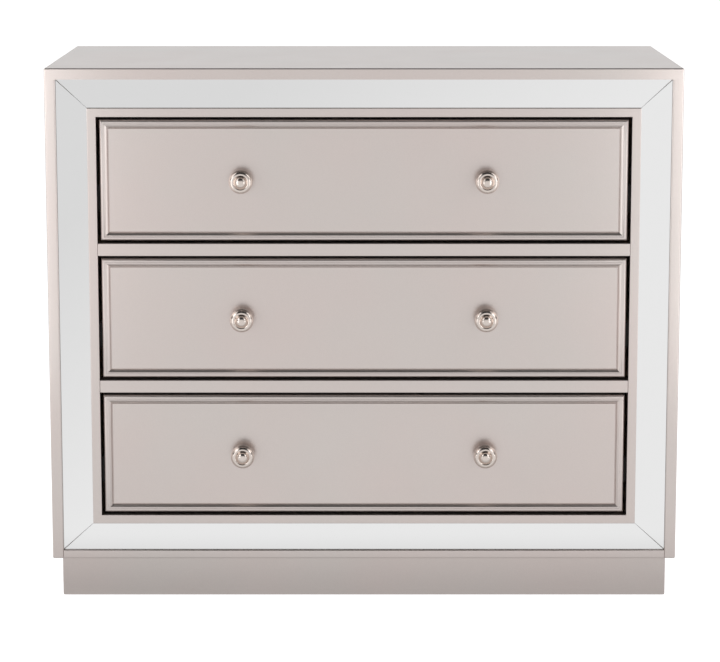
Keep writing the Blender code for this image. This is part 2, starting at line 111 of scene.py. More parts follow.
class ChestSizes(bpy.types.PropertyGroup):
    """Sizes of the details that the boards' outlines don't give"""

    arris: length("Arris", "Radius of the eased edges of the painted boards", 0.0018)
    lip_round: length("Lip round", "Radius of the edges of the lip and the divider rails", 0.0008)
    lip_width: length("Lip width", "Width of the lip inside the mirror strips", 0.0120)
    glass_fit: length("Glass fit", "Gap round each mirror strip", 0.00012)
    glass_arris: length("Glass arris", "Width of the polished edge of the mirror strips", 0.0002)
    mitre_open: length("Open mitre", "Gap of a mirror mitre at its outer corner", 0.0010)
    mitre_closed: length("Closed mitre", "Gap of a mirror mitre at its inner corner", 0.00012)
    edge_width: length("Edge width", "Width of the rounding at a drawer front's outer edge", 0.0046)
    edge_drop: length("Edge drop", "Depth of the rounding at a drawer front's outer edge", 0.0042)
    valley_width: length("Valley width", "Width of the valley beside the edge", 0.0010)
    valley_depth: length("Valley depth", "Depth of the valley beside the edge", 0.0004)
    bead_width: length("Bead width", "Width of the bead round the field", 0.0020)
    slope_width: length("Slope width", "Width of the slope from the bead to the quirk", 0.0031)
    quirk_depth: length("Quirk depth", "Depth of the quirk below the field", 0.0018)
    quirk_width: length("Quirk width", "Width of the quirk beside the field", 0.0017)
    panel_drop: length("Field drop", "Depth of the flat field behind the front's edge", 0.0025)
    box_round: length("Box round", "Radius of the eased edges of the drawer boxes", 0.0020)
    sheet_round: length("Sheet round", "Radius of the edges of the thin panels", 0.0003)
    knob_band: length("Knob band", "Height of the convex band round the knob", 0.0085)
    knob_rim: length("Knob rim", "Height of the rim behind the band", 0.0035)
    knob_crest: length("Knob crest", "Radius of the band's crest", 0.0108)
    knob_dip: length("Knob dip", "Depth of the slope inside the crest", 0.0020)
    knob_boss: length("Knob boss", "Radius of the boss in the middle", 0.0066)
    knob_boss_height: length("Knob boss height", "Height of the boss above the crest", 0.0034)
    knob_neck: length("Knob neck", "Radius of the neck", 0.0055)
    knob_foot: length("Knob foot", "Radius of the foot on the field", 0.0085)
    knob_head_back: length("Knob head back", "Distance from the field to the flare of the head", 0.0080)
    screw_shaft: length("Screw shaft", "Radius of the knob screws' shafts", 0.0020)
    screw_recess: length("Screw recess", "Radius of the recess in the knob screws' heads", 0.0014)
    pin_head: length("Pin head", "Radius of the heads of the pins in the back", 0.0034)
    pin_rise: length("Pin rise", "Height of the heads of the pins", 0.0006)
    pin_inset: length("Pin inset", "Distance of the pins from the edge of the back", 0.012)


class ChestColours(bpy.types.PropertyGroup):
    """Base colours of the finishes, as linear values"""

    lacquer: colour("Lacquer", "Champagne-silver lacquer", (0.654, 0.597, 0.568))
    lacquer_cast: colour("Lacquer cast", "Slightly rosier cast in the lacquer", (0.668, 0.589, 0.560))
    mirror: colour("Mirror", "Silvering of the mirror strips", (0.86, 0.86, 0.86))
    # Painted shade: a dimmer silvering colour towards the upper left, which darkens the mirror's
    # reflection there.
    mirror_painted_shade: colour("Painted mirror shade", "Silvering where it dims to the upper left", (0.735, 0.735, 0.735))
    glass_edge: colour("Glass edge", "Polished edge of the mirror glass", (0.22, 0.27, 0.25))
    nickel: colour("Nickel", "Polished nickel plate", (0.71, 0.63, 0.58))
    zinc: colour("Zinc", "Zinc plate on runners and screws", (0.40, 0.41, 0.42))
    # Painted shade: near black on the front ends of the runners, which show in the gaps beside the
    # drawers.
    painted_end_shade: colour("Painted end shade", "Painted shade on the front ends of the runners", (0.035, 0.035, 0.036))
    wood_light: colour("Light wood", "Early wood of the drawer boxes", (0.66, 0.51, 0.35))
    wood_dark: colour("Dark wood", "Late wood of the drawer boxes", (0.44, 0.30, 0.18))
    hardboard: colour("Hardboard", "Back panel", (0.30, 0.20, 0.13))
    floor: colour("Floor", "Pale studio floor", (0.80, 0.80, 0.80))


class StudioSettings(bpy.types.PropertyGroup):
    """Camera, room light and lamps"""

    camera_distance: length("Camera distance", "Camera's distance from the chest's front", 3.4)
    camera_height: length("Camera height", "Camera's height above the floor", 1.007)
    camera_pitch: number(
        "Camera pitch", "How far the camera looks down", math.radians(8.99), subtype="ANGLE"
    )
    focal_pixels: number("Focal length", "In pixels, for an image 720 pixels wide", 2567.0)
    shift_right: number("Shift right", "Image shift to the right, in pixels", 4.0)
    shift_up: number("Shift up", "Image shift upwards, in pixels", 72.0)
    front_low: amount("Low front light", "Light from the front, near the floor", 0.90)
    back_low: amount("Low back light", "Light from behind, near the floor", 0.75)
    back_high: amount("High back light", "Light from behind and above", 0.58)
    side_high: amount("High side light", "Light from the sides and above", 0.90)
    front_high: amount("High front light", "Light from the front and above", 0.06)
    floor_glow: amount("Floor glow", "White that the floor adds to its own light", 0.85)
    backdrop_gloss: amount("Backdrop in reflections", "White of the reflected floor and backdrop", 0.94)
    contact_shade: amount("Contact shade", "Darkening of the reflected floor at the chest", 0.34, 1.0)
    contact_reach: length("Contact reach", "How far the contact shade runs out", 0.32)
    overhead_power: lamp_power("Overhead softboxes", 5.0)
    near_power: lamp_power("Softboxes close to the front's sides", 0.70)
    corner_power: lamp_power("Softboxes beside the top corners", 0.42)


def sizes():
    return bpy.context.scene.chest_sizes


def colours():
    return bpy.context.scene.chest_colours


def studio():
    return bpy.context.scene.chest_studio


def spans_of(node):
    """A node's lowest and highest value along X, Y and Z, as lists that can be changed."""
    low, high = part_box(node)
    return [[a, b] for a, b in zip(low, high)]


def middle(span):
    return (span[0] + span[1]) / 2


def shrunk(span, inset):
    return span[0] + inset, span[1] - inset


def outer_first(span, side):
    """A span's end on a side of the chest, and its other end."""
    return (span[1], span[0]) if side > 0 else (span[0], span[1])


def add_node(tree, kind, inputs=None, **settings):
    """Adds a shader node and fills its sockets with plain values or with links."""
    made = tree.nodes.new(f"ShaderNode{kind}")
    for name, value in settings.items():
        setattr(made, name, value)
    for key, value in (inputs or {}).items():
        if isinstance(value, bpy.types.NodeSocket):
            tree.links.new(value, made.inputs[key])
        else:
            made.inputs[key].default_value = value
    return made


def calc(tree, operation, *values, clamp=False):
    """A number worked out from others."""
    inputs = dict(enumerate(values))
    return add_node(tree, "Math", inputs, operation=operation, use_clamp=clamp).outputs["Value"]


def combine(tree, operation, *values):
    """Adds up or multiplies values, one after the other."""
    total = values[0]
    for value in values[1:]:
        total = calc(tree, operation, total, value)
    return total


def vector_calc(tree, operation, *values, result="Vector"):
    """A vector worked out from others, or a number where the result is Value."""
    inputs = dict(enumerate(values))
    return add_node(tree, "VectorMath", inputs, operation=operation).outputs[result]


def scaled(tree, vector, gain):
    inputs = {"Vector": vector, "Scale": gain}
    return add_node(tree, "VectorMath", inputs, operation="SCALE").outputs["Vector"]


def remap(tree, value, start=0.0, end=1.0, low=0.0, high=1.0, step="LINEAR"):
    """Takes a value from low at start to high at end, and holds it beyond them."""
    inputs = {"Value": value, "From Min": start, "From Max": end, "To Min": low, "To Max": high}
    return add_node(tree, "MapRange", inputs, interpolation_type=step).outputs["Result"]


def ramp(tree, value, start, end, high=1.0):
    """A smooth step of a value from 0 at start to high at end."""
    return remap(tree, value, start, end, high=high, step="SMOOTHSTEP")


def blend(tree, factor, first, second):
    """The first colour where the factor is 0, and the second where it is 1."""
    inputs = {"Factor": factor, MIX_FIRST: first, MIX_SECOND: second}
    return add_node(tree, "Mix", inputs, data_type="RGBA").outputs[MIX_RESULT]


def noise(tree, place, scale, detail, distortion=0.0):
    inputs = {"Vector": place, "Scale": scale, "Detail": detail, "Distortion": distortion}
    return add_node(tree, "TexNoise", inputs).outputs["Fac"]


def scale_for(tree, size):
    """The scale of a texture whose forms have a size in metres."""
    return calc(tree, "DIVIDE", 1.0, size)


def bump(tree, height, distance, invert=False):
    inputs = {"Height": height, "Distance": distance}
    return add_node(tree, "Bump", inputs, invert=invert).outputs["Normal"]


def coordinates(tree, kind="Object"):
    return add_node(tree, "TexCoord").outputs[kind]


def new_group(name, inputs, outputs):
    """An empty shader node group with named sockets, and the outputs of its input node."""
    group = bpy.data.node_groups.new(name, "ShaderNodeTree")
    for direction, sockets in (("INPUT", inputs), ("OUTPUT", outputs)):
        for label, kind, *default in sockets:
            socket = group.interface.new_socket(
                name=label, in_out=direction, socket_type=f"NodeSocket{kind}"
            )
            if default:
                socket.default_value = default[0]
    return group, group.nodes.new("NodeGroupInput").outputs


def deliver(group, **values):
    """Links values to a group's outputs of the same names."""
    result = group.nodes.new("NodeGroupOutput")
    for label, value in values.items():
        group.links.new(value, result.inputs[label])
    return group


def make_spray_group(name):
    """Flake, spray texture and a slow cast of colour for a sprayed metallic lacquer."""
    inputs = (
        ("Colour", "Color", (0.6, 0.5, 0.5, 1.0)),
        ("Cast", "Color", (0.6, 0.5, 0.5, 1.0)),
        ("Roughness", "Float", 0.4),
        ("Flake Size", "Float", 0.0006),
        ("Flake Tilt", "Float", 0.05),
        ("Peel Size", "Float", 0.004),
        ("Peel Height", "Float", 0.00001),
    )
    group, given = new_group(name, inputs, SURFACE_OUTPUTS)
    place = coordinates(group)
    cast = remap(group, noise(group, place, scale=5.0, detail=3.0), start=0.35, end=0.65)
    tinted = blend(group, cast, given["Colour"], given["Cast"])
    flake_inputs = {"Vector": place, "Scale": scale_for(group, given["Flake Size"])}
    flake = add_node(group, "TexVoronoi", flake_inputs).outputs["Color"]
    sparkle = add_node(group, "SeparateColor", {"Color": flake}).outputs["Red"]
    flake_gain = remap(group, sparkle, low=0.98, high=1.02)
    centred = vector_calc(group, "SUBTRACT", flake, (0.5, 0.5, 0.5))
    tilt = scaled(group, centred, given["Flake Tilt"])
    peel = noise(group, place, scale_for(group, given["Peel Size"]), detail=1.0)
    tilted = vector_calc(group, "ADD", bump(group, peel, given["Peel Height"]), tilt)
    gloss = remap(group, noise(group, place, scale=14.0, detail=4.0), low=-0.04, high=0.04)
    return deliver(
        group,
        Colour=scaled(group, tinted, flake_gain),
        Roughness=calc(group, "ADD", given["Roughness"], gloss),
        Normal=vector_calc(group, "NORMALIZE", tilted),
    )


def make_plate_group(name):
    """Fine rubbing marks and clouding for plated metal and glass."""
    inputs = (
        ("Colour", "Color", (0.7, 0.7, 0.7, 1.0)),
        ("Roughness", "Float", 0.1),
        ("Cloud Size", "Float", 0.02),
        ("Cloud", "Float", 0.05),
        ("Fade", "Float", 0.08),
        ("Rub Size", "Float", 0.0008),
        ("Rub Height", "Float", 0.000002),
        ("Stretch", "Vector", (1.0, 1.0, 1.0)),
    )
    group, given = new_group(name, inputs, SURFACE_OUTPUTS)
    place = coordinates(group)
    cloud = noise(group, place, scale_for(group, given["Cloud Size"]), detail=3.0)
    faded = calc(group, "SUBTRACT", 1.0, given["Fade"])
    fade = remap(group, cloud, low=1.0, high=faded)
    stretched = vector_calc(group, "MULTIPLY", place, given["Stretch"])
    rub = noise(group, stretched, scale_for(group, given["Rub Size"]), detail=2.0)
    return deliver(
        group,
        Colour=scaled(group, given["Colour"], fade),
        Roughness=calc(group, "MULTIPLY_ADD", cloud, given["Cloud"], given["Roughness"]),
        Normal=bump(group, rub, given["Rub Height"]),
    )


def make_painted_shade_silver_group(name):
    """Silvering whose colour dims a little towards one corner of the front: a painted shade that
    darkens the reflection there.
    """
    inputs = (
        ("Bright", "Color", (0.9, 0.9, 0.9, 1.0)),
        ("Dim", "Color", (0.8, 0.8, 0.8, 1.0)),
        ("Towards", "Vector", (-1.85, 0.0, 2.38)),
        ("Start", "Float", 0.95),
    )
    group, given = new_group(name, inputs, (("Colour", "Color"),))
    place = coordinates(group)
    reach = vector_calc(group, "DOT_PRODUCT", place, given["Towards"], result="Value")
    # Painted shade: the share of the dim colour grows towards the upper left corner.
    painted_dimming = calc(group, "SUBTRACT", reach, given["Start"], clamp=True)
    return deliver(group, Colour=blend(group, painted_dimming, given["Bright"], given["Dim"]))


def make_painted_end_shade_group(name):
    """The plate's colour, and a near-black painted shade on ends that face the front, such as the
    runners' ends seen through the gaps beside the drawers.
    """
    inputs = (
        ("Colour", "Color", (0.5, 0.5, 0.5, 1.0)),
        ("End Colour", "Color", (0.1, 0.1, 0.1, 1.0)),
    )
    group, given = new_group(name, inputs, (("Colour", "Color"),))
    facing = coordinates(group, "Normal")
    along = add_node(group, "SeparateXYZ", {"Vector": facing}).outputs["Y"]
    # Painted shade: faces that point to the front take the end colour.
    painted_end_share = remap(group, along, start=-0.90, end=-0.99)
    return deliver(group, Colour=blend(group, painted_end_share, given["Colour"], given["End Colour"]))


def make_grain_group(name):
    """Long grain, pores and growth bands, which run along the axis that Stretch squeezes."""
    inputs = (
        ("Light", "Color", (0.7, 0.5, 0.3, 1.0)),
        ("Dark", "Color", (0.4, 0.3, 0.2, 1.0)),
        ("Stretch", "Vector", (1.0, 1.0, 1.0)),
        ("Band Size", "Float", 0.03),
        ("Pore Height", "Float", 0.00005),
    )
    group, given = new_group(name, inputs, SURFACE_OUTPUTS)
    ring_count = 26.0
    pore_share = 0.35
    stretched = vector_calc(group, "MULTIPLY", coordinates(group), given["Stretch"])
    band_scale = scale_for(group, given["Band Size"])
    bands = noise(group, stretched, band_scale, detail=3.0, distortion=0.6)
    waves = calc(group, "SINE", calc(group, "MULTIPLY", bands, ring_count))
    figure = remap(group, waves, start=-1.0, low=0.1, high=0.7)
    pores = remap(group, noise(group, stretched, scale=900.0, detail=3.0), start=0.45, end=0.75)
    mixed = calc(group, "MULTIPLY_ADD", pores, pore_share, figure, clamp=True)
    return deliver(
        group,
        Colour=blend(group, mixed, given["Light"], given["Dark"]),
        Roughness=remap(group, mixed, low=0.42, high=0.62),
        Normal=bump(group, pores, given["Pore Height"], invert=True),
    )


SHARED_GROUPS = {
    "Sprayed lacquer": make_spray_group,
    "Plated surface": make_plate_group,
    "Silvering": make_painted_shade_silver_group,
    "Painted shade on the front ends": make_painted_end_shade_group,
    "Wood grain": make_grain_group,
}


def place_group(tree, name, inputs):
    """Places a shared group, made the first time, in a material and gives its outputs."""
    group = bpy.data.node_groups.get(name) or SHARED_GROUPS[name](name)
    return add_node(tree, "Group", inputs, node_tree=group).outputs


def opaque(rgb, gain=1.0):
    return (rgb[0] * gain, rgb[1] * gain, rgb[2] * gain, 1.0)


def shader_of(made):
    return made.node_tree.nodes["Principled BSDF"]


def surface(name, **sockets):
    """A new material with its shader's own sockets set."""
    made = bpy.data.materials.new(name)
    made.use_nodes = True
    for label, value in sockets.items():
        shader_of(made).inputs[label.replace("_", " ")].default_value = value
    return made


def feed(made, group_name, inputs):
    """Feeds what a shared group gives to a material's shader, and returns the material."""
    given = place_group(made.node_tree, group_name, inputs)
    for source, socket in (("Colour", "Base Color"), ("Roughness", "Roughness"), ("Normal", "Normal")):
        made.node_tree.links.new(given[source], shader_of(made).inputs[socket])
    return made


def make_lacquer(name):
    made = surface(name, Metallic=0.90, Coat_Weight=0.35, Coat_Roughness=0.15)
    spray = {
        "Colour": opaque(colours().lacquer),
        "Cast": opaque(colours().lacquer_cast),
        "Roughness": 0.30,
        "Flake Tilt": 0.03,
        "Peel Size": 0.0035,
    }
    return feed(made, "Sprayed lacquer", spray)


def make_mirror(name):
    made = surface(name, Metallic=1.0)
    # The silvering carries a painted shade towards the upper left.
    tones = {"Bright": opaque(colours().mirror), "Dim": opaque(colours().mirror_painted_shade)}
    silver = place_group(made.node_tree, "Silvering", tones)["Colour"]
    plate = {"Colour": silver, "Roughness": 0.01, "Cloud": 0.01, "Fade": 0.01}
    return feed(made, "Plated surface", plate)


def make_nickel(name):
    plate = {
        "Colour": opaque(colours().nickel),
        "Roughness": 0.12,
        "Fade": 0.06,
        "Rub Height": 0.0000006,
    }
    return feed(surface(name, Metallic=1.0), "Plated surface", plate)


def make_zinc(name):
    made = surface(name, Metallic=1.0)
    # Ends that face the front get a painted shade, near black.
    tones = {"Colour": opaque(colours().zinc), "End Colour": opaque(colours().painted_end_shade)}
    plate = {
        "Colour": place_group(made.node_tree, "Painted shade on the front ends", tones)["Colour"],
        "Roughness": 0.30,
        "Cloud": 0.14,
        "Fade": 0.14,
        "Rub Height": 0.000004,
        "Stretch": (1.0, 0.05, 1.0),
    }
    return feed(made, "Plated surface", plate)


def make_glass_edge(name):
    made = surface(name, Metallic=0.3, Coat_Weight=0.6, Coat_Roughness=0.05)
    ground = {
        "Colour": opaque(colours().glass_edge),
        "Roughness": 0.20,
        "Cloud": 0.10,
        "Rub Size": 0.0004,
        "Rub Height": 0.00001,
    }
    return feed(made, "Plated surface", ground)


def make_wood(name, axis):
    """Lacquered poplar whose grain runs along an axis."""
    made = surface(name, Coat_Weight=0.08, Coat_Roughness=0.35)
    grain = {
        "Light": opaque(colours().wood_light),
        "Dark": opaque(colours().wood_dark),
        "Stretch": [0.06 if each == axis else 1.0 for each in AXES],
    }
    return feed(made, "Wood grain", grain)


def make_hardboard(name):
    fibres = {
        "Light": opaque(colours().hardboard, gain=1.12),
        "Dark": opaque(colours().hardboard, gain=0.86),
        "Stretch": (0.8, 1.0, 1.0),
        "Band Size": 0.008,
        "Pore Height": 0.00004,
    }
    return feed(surface(name), "Wood grain", fibres)


FINISHES = {
    "sprayed_champagne": make_lacquer,
    "mirror_silver": make_mirror,
    "glass_edge": make_glass_edge,
    "nickel_plate": make_nickel,
    "zinc_plate": make_zinc,
    "hardboard": make_hardboard,
    **{f"poplar_along_{axis}": partial(make_wood, axis=axis) for axis in AXES},
}


def finish(name):
    """A finish by its name, made the first time that it is asked for."""
    return bpy.data.materials.get(name) or FINISHES[name](name)


def mesh_from(name, bm):
    bmesh.ops.recalc_face_normals(bm, faces=bm.faces)
    mesh = bpy.data.meshes.new(name)
    bm.to_mesh(mesh)
    bm.free()
    return mesh


def add_piece(name, mesh, finishes, body):
    """Links a finished mesh that rides on a body."""
    for word in finishes:
        mesh.materials.append(finish(word))
    mesh.shade_smooth()
    mesh.set_sharp_from_angle(angle=SHARP_ANGLE)
    piece = bpy.data.objects.new(name, mesh)
    bpy.context.scene.collection.objects.link(piece)
    flats = piece.modifiers.new("flat faces stay flat", "WEIGHTED_NORMAL")
    flats.weight = 100
    flats.keep_sharp = True
    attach(piece, body)
    return piece


def stand_for(node, mesh, finishes, body):
    """Links a finished mesh as the piece that stands for one of the chest's parts."""
    piece = add_piece(f"{node}_finished", mesh, finishes, body)
    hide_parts(node)
    return piece


def painted(node, mesh, body=CASE):
    return stand_for(node, mesh, ["sprayed_champagne"], body)


def wooden(node, mesh, axis, body):
    stand_for(node, mesh, [f"poplar_along_{axis}"], body)


def lies_in(edge, axis, place):
    """Whether an edge lies in the plane that crosses an axis at a place."""
    return all(abs(vert.co[AXES[axis]] - place) < PLANE_TOLERANCE for vert in edge.verts)


def soften_edges(bm, width, joints):
    """Rounds every edge except those that lie in a joint, given as (axis, place) planes."""
    edges = [edge for edge in bm.edges if not any(lies_in(edge, *joint) for joint in joints)]
    bmesh.ops.bevel(
        bm, geom=edges, offset=width, segments=4, profile=0.5, affect="EDGES", clamp_overlap=True
    )


def prism(outline, to_point, low, high):
    """Extrudes an outline; to_point(a, b, along) gives the place of an outline point."""
    bm = bmesh.new()
    face = bm.faces.new([bm.verts.new(to_point(a, b, low)) for a, b in outline])
    made = bmesh.ops.extrude_face_region(bm, geom=[face])["geom"]
    moved = [item for item in made if isinstance(item, bmesh.types.BMVert)]
    step = Vector(to_point(0.0, 0.0, high)) - Vector(to_point(0.0, 0.0, low))
    bmesh.ops.translate(bm, verts=moved, vec=step)
    return bm


def along_y(x, z, y):
    return (x, y, z)


def along_z(x, y, z):
    return (x, y, z)


def box_outline(first, second):
    low, high = second
    return [(first[0], low), (first[1], low), (first[1], high), (first[0], high)]


def board_mesh(name, spans, width, joints=()):
    """A board from its spans, with its edges eased apart from those at its joints."""
    bm = prism(box_outline(spans[0], spans[1]), along_z, *spans[2])
    soften_edges(bm, width, joints)
    return mesh_from(name, bm)


def ellipse(centre, radii, start, end, steps):
    """Points along part of an ellipse, with its angles in degrees."""
    turns = [math.radians(start + (end - start) * i / steps) for i in range(steps + 1)]
    return [
        (centre[0] + radii[0] * math.cos(turn), centre[1] + radii[1] * math.sin(turn))
        for turn in turns
    ]


def add_turned(bm, profile, centre, segments):
    """Turns (radius, distance) points about an axis along Y. The distance runs towards -Y."""
    verts = [bm.verts.new(centre + Vector((radius, -distance, 0.0))) for radius, distance in profile]
    edges = [bm.edges.new(pair) for pair in zip(verts, verts[1:])]
    turn = {"cent": centre, "axis": (0.0, 1.0, 0.0), "angle": math.tau, "steps": segments}
    bmesh.ops.spin(bm, geom=verts + edges, use_merge=True, **turn)
    bmesh.ops.remove_doubles(bm, verts=bm.verts, dist=1e-6)


def turned_mesh(name, profile, spans, segments):
    """A part turned about the middle of its spans, with its distances from their back end."""
    bm = bmesh.new()
    add_turned(bm, profile, Vector((middle(spans[0]), spans[1][1], middle(spans[2]))), segments)
    return mesh_from(name, bm)


def build_case_boards():
    """Top, sides and floor, whose painted joints close to one skin."""
    width = sizes().arris
    top = spans_of("top_panel")
    floor = spans_of("bottom_panel")
    back = spans_of("back_panel")
    under_top = top[2][0]
    painted("top_panel", board_mesh("top_panel", top, width, [("z", under_top)]))
    for word, side in SIDES:
        node = f"side_panel_{word}"
        spans = spans_of(node)
        outer, inner = outer_first(spans[0], side)
        front_y, back_y = spans[1]
        rebate_x, _ = outer_first(back[0], side)
        rebate_y = back[1][0]
        outline = [
            (outer, front_y),
            (outer, back_y),
            (rebate_x, back_y),
            (rebate_x, rebate_y),
            (inner, rebate_y),
            (inner, front_y),
        ]
        bm = prism(outline, along_z, spans[2][0], under_top)
        soften_edges(bm, width, [("z", under_top), ("x", rebate_x), ("y", rebate_y)])
        painted(node, mesh_from(node, bm))
        floor[0][0 if side < 0 else 1] = inner
    joints = [("x", floor[0][0]), ("x", floor[0][1])]
    painted("bottom_panel", board_mesh("bottom_panel", floor, width, joints))


def build_plinth():
    """Four boards on edge whose painted corners close."""
    width = sizes().arris
    front_back = spans_of("plinth_front")[1][1]
    case_under = spans_of("bottom_panel")[2][0]
    for word in ("front", "left", "right", "back"):
        node = f"plinth_{word}"
        spans = spans_of(node)
        spans[2][1] = case_under
        joints = [("z", case_under)]
        if word in ("left", "right"):
            spans[1][0] = front_back
        if word != "back":
            joints.append(("y", front_back))
        painted(node, board_mesh(node, spans, width, joints))


def front_plan():
    """The inside of the case and the glass edge, as rectangles (half width, low, high)."""
    half = spans_of("side_panel_right")[0][0]
    inside = (half, spans_of("bottom_panel")[2][1], spans_of("top_panel")[2][0])
    opening_half = spans_of("frame_stile_right")[0][0]
    low = spans_of("frame_rail_bottom")[2][1]
    high = spans_of("frame_rail_top")[2][0]
    lip = sizes().lip_width
    glass_edge = (opening_half + lip, low - lip, high + lip)
    return inside, glass_edge


def frame_ring(mirror, depth, seat):
    """A frame member's section as (inset, depth), round from its outer back corner."""
    radius = sizes().lip_round
    end = mirror + sizes().lip_width
    face = ellipse((mirror + radius, radius), (radius, radius), 180, 270, 5)
    face += ellipse((end - radius, radius), (radius, radius), 270, 360, 5)
    return [(0.0, depth), (0.0, seat), (mirror, seat), *face, (end, depth), (mirror, depth)]


def mitre_reach(inset, own, other):
    """How far a mitre runs along a member at an inset from its outer edge."""
    return inset * other / own if inset <= own else other + inset - own


def bridge(bm, first, second):
    """Joins two closed rows of as many vertices with faces."""
    for i in range(len(first)):
        j = (i + 1) % len(first)
        bm.faces.new([first[i], first[j], second[j], second[i]])


def frame_member(node, ring, own, ends, to_point):
    """A mitred member; ends are (its bound, the neighbour's mirror width, direction inwards)."""
    bm = bmesh.new()
    loops = []
    for bound, other, inward in ends:
        verts = [
            bm.verts.new(to_point(inset, depth, bound + inward * mitre_reach(inset, own, other)))
            for inset, depth in ring
        ]
        bm.faces.new([*verts[:3], verts[-1]])
        bm.faces.new(verts[2:])
        loops.append(verts)
    bridge(bm, *loops)
    painted(node, mesh_from(node, bm))


def build_front_frame():
    """Stiles and rails round the drawers, and the divider rails between them."""
    inside, glass_edge = front_plan()
    front_y, back_y = spans_of("frame_rail_top")[1]
    seat = spans_of("mirror_strip_top")[1][1] - front_y
    side_own = inside[0] - glass_edge[0]
    low_own = glass_edge[1] - inside[1]
    high_own = inside[2] - glass_edge[2]
    ring = frame_ring(side_own, back_y - front_y, seat)
    for word, side in SIDES:

        def beside(inset, depth, along, side=side):
            return (side * (inside[0] - inset), front_y + depth, along)

        ends = ((inside[1], low_own, 1), (inside[2], high_own, -1))
        frame_member(f"frame_stile_{word}", ring, side_own, ends, beside)
    rails = (("top", inside[2], high_own, -1), ("bottom", inside[1], low_own, 1))
    for word, edge, own, inward in rails:

        def across(inset, depth, along, edge=edge, inward=inward):
            return (along, front_y + depth, edge + inward * inset)

        ring = frame_ring(own, back_y - front_y, seat)
        ends = ((-inside[0], side_own, 1), (inside[0], side_own, -1))
        frame_member(f"frame_rail_{word}", ring, own, ends, across)
    for word in ("lower", "upper"):
        node = f"divider_rail_{word}"
        painted(node, board_mesh(node, spans_of(node), sizes().lip_round))


def build_mirrors():
    """Glass strips with polished edges. Their mitres open a little towards the outer corners."""
    inside, glass_edge = front_plan()
    fit = sizes().glass_fit
    outer = (inside[0] - fit, inside[1] + fit, inside[2] - fit)
    inner = (glass_edge[0] + fit, glass_edge[1] - fit, glass_edge[2] + fit)
    wide = sizes().mitre_open / math.sqrt(2)
    narrow = sizes().mitre_closed / math.sqrt(2)
    front_y, back_y = spans_of("mirror_strip_top")[1]
    outlines = {}
    for word, index in (("bottom", 1), ("top", 2)):
        outlines[word] = [
            (wide - outer[0], outer[index]),
            (outer[0] - wide, outer[index]),
            (inner[0] - narrow, inner[index]),
            (narrow - inner[0], inner[index]),
        ]
    for word, side in SIDES:
        outlines[word] = [
            (side * outer[0], outer[1] + wide),
            (side * outer[0], outer[2] - wide),
            (side * inner[0], inner[2] - narrow),
            (side * inner[0], inner[1] + narrow),
        ]
    for word, outline in outlines.items():
        node = f"mirror_strip_{word}"
        bm = prism(outline, along_y, front_y, back_y)
        edges = [edge for edge in bm.edges if lies_in(edge, "y", front_y)]
        bmesh.ops.bevel(
            bm, geom=edges, offset=sizes().glass_arris, segments=2, profile=0.5, affect="EDGES"
        )
        bmesh.ops.recalc_face_normals(bm, faces=bm.faces)
        for face in bm.faces:
            face.material_index = 0 if face.normal.y < -0.5 else 1
        mesh = mesh_from(node, bm)
        stand_for(node, mesh, ["mirror_silver", "glass_edge"], CASE)


def front_profile():
    """The drawer front's edge moulding as (inset, depth behind the foremost plane)."""
    s = sizes()
    edge = ellipse((s.edge_width, s.edge_drop), (s.edge_width, s.edge_drop), 180, 270, 14)
    bead_start = s.edge_width + s.valley_width
    bead_centre = (bead_start + s.bead_width / 2, s.valley_depth)
    bead = ellipse(bead_centre, (s.bead_width / 2, s.valley_depth), 180, 335, 10)
    quirk_start = bead_start + s.bead_width + s.slope_width
    quirk_floor = s.panel_drop + s.quirk_depth
    slope_end = (quirk_start, s.panel_drop + s.quirk_depth * 0.2)
    # Points on the way down, which keep the smooth shading of the slope straight.
    shares = (0.08, 0.5)
    slope = [tuple(a + (b - a) * t for a, b in zip(bead[-1], slope_end)) for t in shares]
    quirk = [
        slope_end,
        (quirk_start + s.quirk_width * 0.3, quirk_floor),
        (quirk_start + s.quirk_width * 0.6, quirk_floor),
        (quirk_start + s.quirk_width, s.panel_drop),
    ]
    return edge + bead + slope + quirk


def build_drawer_fronts():
    """Moulded drawer fronts, each routed from one board."""
    for drawer in DRAWERS:
        node = f"drawer_front_{drawer}"
        across, (front_y, back_y), up = spans_of(node)
        bm = bmesh.new()
        loops = []
        for inset, depth in [(0.0, back_y - front_y), *front_profile()]:
            corners = box_outline(shrunk(across, inset), shrunk(up, inset))
            loops.append([bm.verts.new((x, front_y + depth, z)) for x, z in corners])
        bm.faces.new(loops[0])
        bm.faces.new(loops[-1])
        for outer, inner in zip(loops, loops[1:]):
            bridge(bm, outer, inner)
        painted(node, mesh_from(node, bm), f"{drawer}_drawer")


def build_drawer_boxes():
    """Sides, back and bottom of each drawer, with eased edges."""
    width = sizes().box_round
    for drawer in DRAWERS:
        body = f"{drawer}_drawer"
        bottom = spans_of(f"drawer_bottom_{drawer}")
        groove_low, groove_high = bottom[2]
        for word, side in SIDES:
            node = f"drawer_side_{drawer}_{word}"
            spans = spans_of(node)
            outer, inner = outer_first(spans[0], side)
            groove, _ = outer_first(bottom[0], side)
            low, high = spans[2]
            outline = [
                (outer, low),
                (outer, high),
                (inner, high),
                (inner, groove_high),
                (groove, groove_high),
                (groove, groove_low),
                (inner, groove_low),
                (inner, low),
            ]
            bm = prism(outline, along_y, *spans[1])
            joints = [("z", groove_low), ("z", groove_high), ("x", groove), ("y", spans[1][0])]
            soften_edges(bm, width, joints)
            wooden(node, mesh_from(node, bm), "y", body)
        node = f"drawer_back_{drawer}"
        spans = spans_of(node)
        joints = [("x", spans[0][0]), ("x", spans[0][1]), ("z", spans[2][0])]
        wooden(node, board_mesh(node, spans, width, joints), "x", body)
        node = f"drawer_bottom_{drawer}"
        wooden(node, board_mesh(node, bottom, sizes().sheet_round), "x", body)


